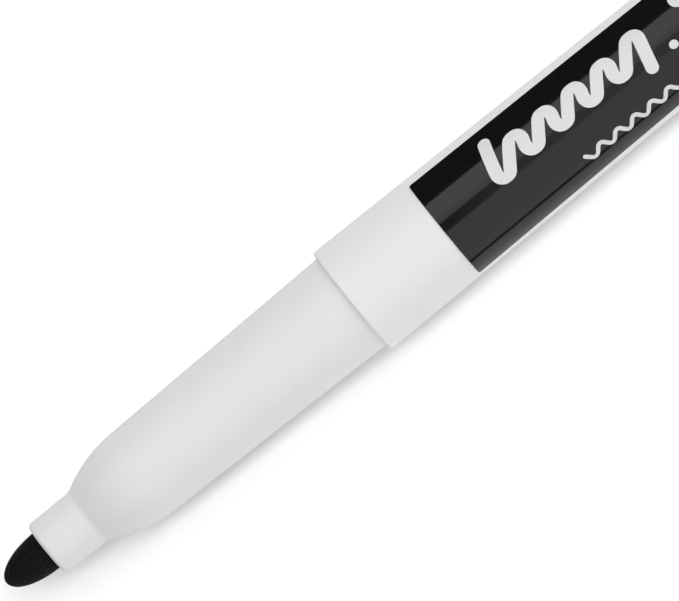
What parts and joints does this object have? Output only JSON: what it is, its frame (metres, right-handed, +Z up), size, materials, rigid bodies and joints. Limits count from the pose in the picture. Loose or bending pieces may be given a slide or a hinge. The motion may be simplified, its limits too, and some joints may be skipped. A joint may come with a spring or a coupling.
{
  "type": "whiteboard marker",
  "caption": "Slim round dry-erase marker with a fine bullet nib, stepped front section, tapered white barrel with a black label band, and a black clip cap posted on its tail.",
  "frame": {"origin": "middle of the marker's box, on the surface that the marker lies on", "axes": "+X along the marker from the nib to the closed end of the posted cap, +Y across it, +Z up; the label faces up and the pocket clip lies on the -Y side"},
  "size_m": [0.1518, 0.0142, 0.0114],
  "materials": {
    "nib_felt": "bonded fibre soaked in black ink",
    "white_plastic": "satin moulded polypropylene",
    "label_film": null,
    "inked_fibre": "polyester fibre soaked in black ink",
    "clear_film": "thin clear wrap",
    "black_plastic": "glossy moulded polypropylene",
    "seal_plastic": "milky soft polyethylene"
  },
  "bodies": {
    "pen": {"barrel": "white_plastic", "front_section": "white_plastic", "nib": "nib_felt", "ink_reservoir": "inked_fibre", "reservoir_sleeve": "clear_film", "end_plug": "black_plastic", "barrel_label": "label_film"},
    "cap": {"cap_shell": "black_plastic", "inner_cap": "seal_plastic"}
  },
  "joints": [
    {"name": "cap_pull", "type": "slide", "parent": "pen", "child": "cap", "axis": [1, 0, 0], "range_m": [0, 0.03]}
  ]
}
